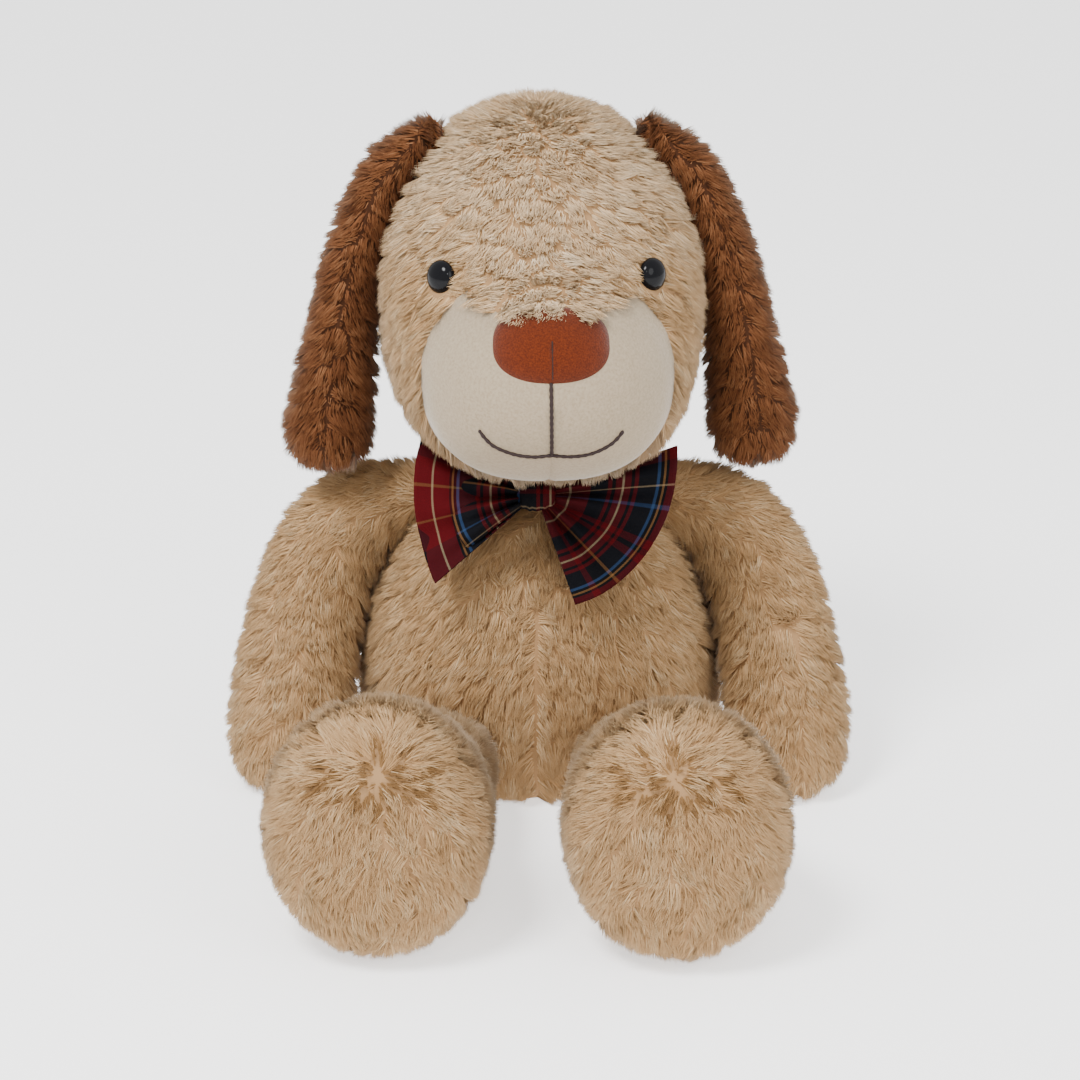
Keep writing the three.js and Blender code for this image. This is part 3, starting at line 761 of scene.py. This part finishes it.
CHECKED = checked_cloth()
LEAN = math.radians(24)          # the bow leans back against the chest
KNOT = np.array([0, -57.0, 144.0])
BOW_UP = np.array([0, math.sin(LEAN), math.cos(LEAN)])
BOW_OUT = np.array([0, -math.cos(LEAN), math.sin(LEAN)])


def bow_point(a, b, c):
    """Points a mm across the bow, b up its face and c out from it."""
    return KNOT + np.outer(a, [1, 0, 0]) + np.outer(b, BOW_UP) + np.outer(c, BOW_OUT)


WING_ROOT = 6.0                  # the wings start this far from the middle of the knot, inside the band
WING_ACROSS, WING_DOWN = 96, 40
HEM_GAP = 0.9                    # half the gap between a wing's two layers, in mm
HIDDEN_STEPS = 6                 # the back layer stops short of the knot by so many steps


def wing(name, angles, reaches, span, phase, height, start, cloth_width):
    """A gathered wing: a fan of cloth from the knot to its hem, folded round the hem and back again.
    angles and reaches give the hem, span is how far the folds stand out, height lifts the layer,
    and start and cloth_width say which part of the check it is cut from."""
    t = np.linspace(0, 1, WING_ACROSS + 1)
    ang = np.radians(np.interp(t, np.linspace(0, 1, len(angles)), angles))
    reach = catmull(np.array([[r, 0, 0] for r in reaches], float), t)[:, 0]
    rows = []
    steps = np.linspace(0, 1, WING_DOWN + 1)
    layers = [(s, 1) for s in steps] + [(1 - s, -1) for s in steps[:-HIDDEN_STEPS]]
    for s, face in layers:
        r = WING_ROOT + (reach - WING_ROOT) * s
        gather = (1 - s) ** 0.8
        fold = span * (0.25 + gather) * np.sin(2 * np.pi * (3.6 * t + phase)) * np.clip(s * 5, 0, 1)
        fold += 2.3 * s * np.sin(2 * np.pi * (1.3 * t + phase * 2))
        puff = height * np.sin(np.pi * np.clip(s, 0, 1) ** 0.8) + (HEM_GAP if face > 0 else -HEM_GAP)
        if face < 0:
            puff = -puff * 0.5 - 1.0 * np.sqrt(np.clip(1 - s, 0, 1))
            fold = fold * 0.6
        rows.append(bow_point(r * np.cos(ang), r * np.sin(ang), fold + puff + 2.0))
    verts = np.concatenate(rows)
    k = WING_ACROSS + 1
    quads = []
    for i in range(len(layers) - 1):
        for j in range(WING_ACROSS):
            quads.append((i * k + j, (i + 1) * k + j, (i + 1) * k + j + 1, i * k + j + 1))
    far = np.array([s if face > 0 else 2 - s for s, face in layers])
    mean = float(np.mean(reach)) - WING_ROOT
    u = start[0] + (1 - far)[:, None] * mean + 0 * t[None]
    v = start[1] + np.repeat((t * cloth_width)[None], len(layers), 0)
    flat = np.array(quads)
    o = mesh_object(name, verts, flat.ravel(), np.full(len(flat), 4), [CHECKED])
    layer = o.data.uv_layers.new(name="cloth")
    pairs = np.stack([u.ravel(), v.ravel()], 1)[flat.ravel()]
    layer.data.foreach_set("uv", pairs.ravel())
    thick = o.modifiers.new("cloth", "SOLIDIFY")
    thick.thickness = 0.5 * MM
    thick.offset = 0
    return o


o = wing("bow_wing_left_cloth", [-70, -54, -39, -20, -2, 9, 20], [50, 51, 52, 54.4, 57.8, 60.5, 64],
         span=3.0, phase=0.15, height=3.5, start=(12.6, 0), cloth_width=50)
done(o, "bow_wing_left", ["bow_wing_left"])
o = wing("bow_wing_right_cloth", [149, 162, 174, 188, 202, 212, 222], [56, 54, 52.6, 52.4, 53.2, 55, 57.6],
         span=2.0, phase=0.4, height=1.0, start=(0, 38), cloth_width=50)
done(o, "bow_wing_right", ["bow_wing_right"])
o = wing("bow_wing_right_fold", [152, 162, 172, 186, 200, 210, 219],
         [33.6, 35, 36.4, 36.6, 37.2, 37.6, 37.5],
         span=3.2, phase=0.1, height=6.0, start=(16.2, 0), cloth_width=40)
done(o, "bow_wing_right", [])

# Knot: a gathered band round the middle.
def grid_quads(rows, columns, first=0):
    """Quads of a grid with so many rows and columns of faces, whose points start at first."""
    q = (np.arange(rows)[:, None] * (columns + 1) + np.arange(columns)[None]).ravel() + first
    return np.stack([q, q + columns + 1, q + columns + 2, q + 1], 1)


BAND_AROUND, BAND_ALONG = 40, 24
BAND_HALF_WIDTH, BAND_HALF_HEIGHT, BAND_HALF_DEPTH = 8.5, 7.0, 6.0
u, v = (x.ravel() for x in np.meshgrid(np.linspace(0, 1, BAND_AROUND + 1),
                                       np.linspace(0, 1, BAND_ALONG + 1)))
a, lat = 2 * np.pi * u, np.pi * (v - 0.5)
wide = np.sign(np.sin(lat)) * np.abs(np.sin(lat)) ** 0.8 * BAND_HALF_WIDTH
section = np.abs(np.cos(lat)) ** 0.6
crease = 1 + 0.06 * np.sin(wide * 1.9 + 0.6) * section
band = bow_point(wide, BAND_HALF_HEIGHT * section * crease * np.sin(a),
                 BAND_HALF_DEPTH * section * crease * np.cos(a) + 2.5)
band_cloth = np.stack([27 + wide, 20 + BAND_HALF_HEIGHT * a / 2], 1)

# Behind it a tab of the same cloth runs back to the throat, where it is sewn on.
TAB_AROUND, TAB_ALONG = 32, 13
TAB_LENGTH, TAB_HALF_WIDTH, TAB_HALF_HEIGHT = 27.0, 5.5, 2.2
t, back = (x.ravel() for x in np.meshgrid(np.linspace(0, 2 * np.pi, TAB_AROUND + 1),
                                          np.linspace(2, -TAB_LENGTH, TAB_ALONG + 1)))
across = np.sign(np.cos(t)) * np.abs(np.cos(t)) ** 0.5
high = np.sign(np.sin(t)) * np.abs(np.sin(t)) ** 0.5
flare = 1 + 0.25 * (back / TAB_LENGTH) ** 2
tab = bow_point(TAB_HALF_WIDTH * across * flare, TAB_HALF_HEIGHT * high * flare - 1, back)
tab_cloth = np.stack([30 + back, 20 + 1.3 * t], 1)

verts, cloth = np.vstack([band, tab]), np.vstack([band_cloth, tab_cloth])
quads = np.vstack([grid_quads(BAND_ALONG, BAND_AROUND), grid_quads(TAB_ALONG, TAB_AROUND, len(band))])
o = mesh_object("bow_knot_band", verts, quads.ravel(), np.full(len(quads), 4), [CHECKED])
layer = o.data.uv_layers.new(name="cloth")
layer.data.foreach_set("uv", cloth[quads.ravel()].ravel())
done(o, "torso", ["bow_knot"])


# Arms
LIMB_PILE, INNER_PILE = 8.0, 9.5      # the inner panel's pile is longer, so no light passes by the body


def limb_comb(p, n, dv, u, v):
    return dv


for side in ("left", "right"):
    for part, u0, u1, length in (("outer", 0, 0.5, LIMB_PILE), ("inner", 0.5, 1.0, INNER_PILE)):
        skin, coat = panel(ARM, u0, u1, 0.0, 1, DENSITY, length, limb_comb)
        o = furry(f"arm_{side}_{part}", skin, [coat], BEIGE, mirror=side == "right")
        done(o, f"arm_{side}", [f"arm_{side}_{part}"])

# Legs: the sole's pile grows out from a whorl near its top, where the foot is gathered.
WHORL = np.array([58.0, -228.0, 84.0])
ANKLE_SEAM = 6.5 / 9
SOLE_PILE = 7.0
# Slits round the whorl: the angle and length of each, and how far to the side it starts.
PUCKERS = [(200, 20, 0), (232, 13, 3), (262, 17, 0), (300, 12, 2), (335, 22, 0), (8, 13, -9), (25, 11, 12),
           (60, 10, 0), (95, 15, 0), (130, 12, -4), (165, 14, -12), (320, 12, 17), (250, 11, -16)]


def sole_comb(p, n, dv, u, v):
    """Outward near the whorl, and downward with soft waves away from it."""
    gap = np.linalg.norm(p - WHORL, axis=1)[:, None]
    near = np.exp(-((gap / 26.0) ** 2)) * (1 - 0.9 * np.exp(-((gap / 7.0) ** 2)))
    x, z = p[:, 0], p[:, 2]
    swirl = np.stack([np.sin(z / 7.0 + np.sin(x / 9.0) * 2), 0 * u,
                      np.cos(x / 6.0 + np.sin(z / 8.0) * 2)], 1)
    return unit(p - WHORL) * (0.15 + 0.8 * near) + toward(p, (0, 0, -0.55)) + swirl * (0.45 - 0.3 * near)


def pucker_share(p):
    """How far each point is from the nearest slit where the foot is gathered, in slit widths."""
    share = np.full(len(p), 9.0)
    for angle, length, along in PUCKERS:
        ray = np.array([math.cos(math.radians(angle)), math.sin(math.radians(angle))])
        x, z = p[:, 0] - WHORL[0] - along, p[:, 2] - WHORL[2]
        s = np.clip((x * ray[0] + z * ray[1]) / length, 0, 1)
        off = np.hypot(x - s * length * ray[0], z - s * length * ray[1])
        share = np.minimum(share, off / np.sin(math.pi * (0.1 + 0.8 * s)))
    return np.where(p[:, 1] < WHORL[1] + 14, share, 9.0)


def puckers(p):
    return pucker_share(p) < 0.6


def paint_pucker_shade(coat):
    """The pile inside the slits gets the darkest shade: painted shade, standing in for the shadow that falls
    in the slits.
    """
    verts, normals, flat, sizes, index = coat
    painted_shade_mask = pucker_share(verts.reshape(-1, 4, 3)[:, 0]) < 1.7
    return verts, normals, flat, sizes, np.where(np.tile(painted_shade_mask, 3), len(BEIGE), index)


# The sole's shades plus one darker shade, which is painted shade for the pile in the slits.
SOLE_COAT_AND_SHADE = BEIGE + pile_shades("Painted pucker shade pile", [(124, 92, 57)])
for side in ("left", "right"):
    mirror = side == "right"
    skin, coat = panel(LEG, 0, 1, 0.0, ANKLE_SEAM, DENSITY * 0.9, LIMB_PILE, limb_comb, around=32)
    o = furry(f"leg_{side}_cover", skin, [coat], BEIGE, mirror=mirror)
    done(o, f"leg_{side}", [f"leg_{side}_cover"])
    skin, coat = panel(LEG, 0, 1, ANKLE_SEAM, 1, DENSITY, SOLE_PILE, sole_comb, around=32, bare=puckers,
                       lift=0.58, wild=0.3)
    o = furry(f"leg_{side}_sole", skin, [paint_pucker_shade(coat)], SOLE_COAT_AND_SHADE, mirror=mirror)
    done(o, f"leg_{side}", [f"leg_{side}_sole"])

# Ears
EAR_PILE = 7.5


def ear_length(u, v):
    """The pile is shorter inside the fold and along the seams between outer and lining."""
    size = catmull(EAR.stations[:, 3:5], v)
    x, y = size[:, 0] * np.cos(2 * np.pi * u), size[:, 1] * np.sin(2 * np.pi * u)
    seam = np.exp(-(((np.abs((u + 0.5) % 1 - 0.5) - 0.25) / 0.022) ** 2))
    return EAR_PILE * (1 - 0.6 * fold_depth(x, y, size, v)) * (1 - 0.5 * seam)


for side in ("left", "right"):
    for part, u0, u1 in (("outer", -0.25, 0.25), ("lining", 0.25, 0.75)):
        skin, coat = panel(EAR, u0, u1, 0.0, 1, DENSITY, ear_length, limb_comb, around=14, along=26,
                           lift=0.5, floor=False)
        o = furry(f"ear_{side}_{part}", skin, [coat], BROWN, on_head=True, mirror=side == "right")
        done(o, f"ear_{side}", [f"ear_{side}_{part}"])

# Tail
skin, coat = panel(TAIL, 0, 1, 0.0, 1, BACK_DENSITY, LIMB_PILE, limb_comb)
o = furry("tail_cover", skin, [coat], BEIGE)
done(o, "tail", ["tail_cover"])

# Closing stitches: short slanted stitches down the bottom of the back seam.
STITCHES = 9
STITCH_FROM, STITCH_PITCH = 0.3, 0.2 / STITCHES      # both along the torso's v
STITCH_RADIUS = 0.35
slant = np.linspace(-0.006, 0.006, 7)
arch = 1.6 + 1.2 * np.sin(np.linspace(0, np.pi, 7))
stitches = []
for i in range(STITCHES):
    v = np.linspace(STITCH_FROM + i * STITCH_PITCH, STITCH_FROM + (i + 0.8) * STITCH_PITCH, 7)
    p, n, _, _ = TORSO.frame(0.25 + slant * (1 if i % 2 else -1), v)
    stitches.append(tube(p + n * arch[:, None], STITCH_RADIUS))
o = threads("closing_thread", stitches, spun("Seam thread", (176, 146, 106)))
done(o, "torso", ["closing_stitches"])

# What the covers hold: the frame's own solids, in their fibre, pellet cloth and plastic.
INSIDE = {"stuffing": spun("Fibre fill", (226, 224, 218)), "pellet": spun("Pellet cloth", (206, 196, 178)),
          "washer": spun("Washer plastic", (228, 228, 224))}
for node, solid in frame["nodes"].items():
    for word, finish in INSIDE.items():
        if word in node and not solid.hide_render:
            for slot in solid.material_slots:
                slot.material = finish

# ---------- stage ----------
bpy.ops.mesh.primitive_plane_add(size=6, location=(0, 1.0, 0))
floor = bpy.context.object
floor.name = "floor"
PAPER, _, s = shader("Paper floor", (0.95, 0.95, 0.95, 1), 0.95, specular=0.1)
s.inputs["Emission Color"].default_value = (1, 1, 1, 1)
s.inputs["Emission Strength"].default_value = 1.1
floor.data.materials.append(PAPER)

world = bpy.data.worlds.new("Studio") if not bpy.data.worlds else bpy.data.worlds[0]
bpy.context.scene.world = world
world.use_nodes = True
world.node_tree.nodes["Background"].inputs["Color"].default_value = (1, 1, 1, 1)
world.node_tree.nodes["Background"].inputs["Strength"].default_value = 1.2


def lamp(name, place, aim, size, power):
    data = bpy.data.lights.new(name, "AREA")
    data.shape = "DISK"
    data.size = size
    data.energy = power
    o = bpy.data.objects.new(name, data)
    bpy.context.collection.objects.link(o)
    o.location = place
    o.rotation_euler = (Vector(aim) - Vector(place)).to_track_quat("-Z", "Y").to_euler()


lamp("key", (-0.6, -0.85, 1.6), (0, 0, 0.15), 0.6, 40)
lamp("fill", (0.9, -1.0, 0.9), (0, 0, 0.15), 0.9, 8)
lamp("eye glint", (0.1, -1.5, 1.25), (0, 0, 0.2), 0.08, 4)

camera = bpy.data.cameras.new("camera")
viewer = bpy.data.objects.new("camera", camera)
bpy.context.collection.objects.link(viewer)
AIM = Vector((0, ORIGIN_Y * MM, 0.1028))
AZIMUTH, ELEVATION, DISTANCE = math.radians(1.5), math.radians(20), 1.5
FRAMED_WIDTH = 0.486             # how wide the view is at the dog
viewer.location = AIM + DISTANCE * Vector((math.sin(AZIMUTH) * math.cos(ELEVATION),
                                           -math.cos(AZIMUTH) * math.cos(ELEVATION), math.sin(ELEVATION)))
viewer.rotation_euler = (AIM - viewer.location).to_track_quat("-Z", "Y").to_euler()
camera.sensor_width = 36
camera.lens = camera.sensor_width * DISTANCE / FRAMED_WIDTH
bpy.context.scene.camera = viewer
